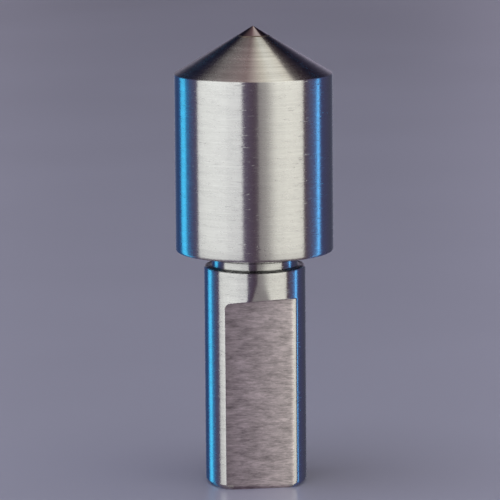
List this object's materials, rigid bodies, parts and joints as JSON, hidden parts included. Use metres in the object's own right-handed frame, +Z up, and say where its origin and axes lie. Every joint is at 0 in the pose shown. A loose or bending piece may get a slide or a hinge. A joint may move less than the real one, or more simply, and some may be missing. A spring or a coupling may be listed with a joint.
{
  "type": "live center",
  "caption": "Small live center with a rotating 118 degree cone head and carbide tip, shielded ball bearings and a thrust bearing on a fixed straight shank with a clamping flat.",
  "frame": {"origin": "middle of the shank's end face", "axes": "+Z up the axis of rotation to the point; -Y out of the shank's clamping flat; +X to the right when the flat faces the reader"},
  "size_m": [0.0198, 0.0198, 0.0578],
  "materials": {
    "turned_steel": "fine-turned bright steel with circular feed lines",
    "bearing_steel": "hardened and ground, lapped to a mirror on the balls",
    "zinced_steel": "pressed sheet, bright zinc",
    "spring_steel": "rolled and tempered strip",
    "blackened_steel": "black oxide, oiled",
    "carbide": "diamond-ground sintered carbide",
    "nylon": "moulded, slightly glossy",
    "brass": "machined",
    "nitrile": "moulded, matte"
  },
  "bodies": {
    "fixed_shank": {"shank": "turned_steel", "lower_inner_ring": "bearing_steel", "inner_spacer": "zinced_steel", "upper_inner_ring": "bearing_steel", "lock_nut": "blackened_steel", "thrust_lower_washer": "bearing_steel"},
    "head": {"head_shell": "turned_steel", "carbide_tip": "carbide", "retaining_ring": "blackened_steel", "lip_seal": "nitrile", "lower_outer_ring": "bearing_steel", "lower_bottom_shield": "zinced_steel", "lower_top_shield": "zinced_steel", "wave_spring": "spring_steel", "upper_outer_ring": "bearing_steel", "upper_bottom_shield": "zinced_steel", "upper_top_shield": "zinced_steel", "thrust_upper_washer": "bearing_steel"},
    "lower_ball_set": {"lower_cage": "nylon", "lower_ball_1": "bearing_steel", "lower_ball_2": "bearing_steel", "lower_ball_3": "bearing_steel", "lower_ball_4": "bearing_steel", "lower_ball_5": "bearing_steel", "lower_ball_6": "bearing_steel", "lower_ball_7": "bearing_steel", "lower_ball_8": "bearing_steel", "lower_ball_9": "bearing_steel"},
    "upper_ball_set": {"upper_cage": "nylon", "upper_ball_1": "bearing_steel", "upper_ball_2": "bearing_steel", "upper_ball_3": "bearing_steel", "upper_ball_4": "bearing_steel", "upper_ball_5": "bearing_steel", "upper_ball_6": "bearing_steel", "upper_ball_7": "bearing_steel", "upper_ball_8": "bearing_steel", "upper_ball_9": "bearing_steel"},
    "thrust_ball_set": {"thrust_cage": "brass", "thrust_ball_1": "bearing_steel", "thrust_ball_2": "bearing_steel", "thrust_ball_3": "bearing_steel", "thrust_ball_4": "bearing_steel", "thrust_ball_5": "bearing_steel", "thrust_ball_6": "bearing_steel", "thrust_ball_7": "bearing_steel", "thrust_ball_8": "bearing_steel", "thrust_ball_9": "bearing_steel"}
  },
  "joints": [
    {"name": "head_spin", "type": "hinge", "parent": "fixed_shank", "child": "head", "pos_m": [0, 0, 0.0381], "axis": [0, 0, 1], "continuous": true},
    {"name": "lower_cage_spin", "type": "hinge", "parent": "fixed_shank", "child": "lower_ball_set", "pos_m": [0, 0, 0.0351], "axis": [0, 0, 1], "continuous": true},
    {"name": "upper_cage_spin", "type": "hinge", "parent": "fixed_shank", "child": "upper_ball_set", "pos_m": [0, 0, 0.0411], "axis": [0, 0, 1], "continuous": true},
    {"name": "thrust_cage_spin", "type": "hinge", "parent": "fixed_shank", "child": "thrust_ball_set", "pos_m": [0, 0, 0.0481], "axis": [0, 0, 1], "continuous": true}
  ],
  "couplings": [
    {"joint": "lower_cage_spin", "follows": "head_spin", "ratio": 0.5992},
    {"joint": "upper_cage_spin", "follows": "head_spin", "ratio": 0.5992},
    {"joint": "thrust_cage_spin", "follows": "head_spin", "ratio": 0.5}
  ]
}
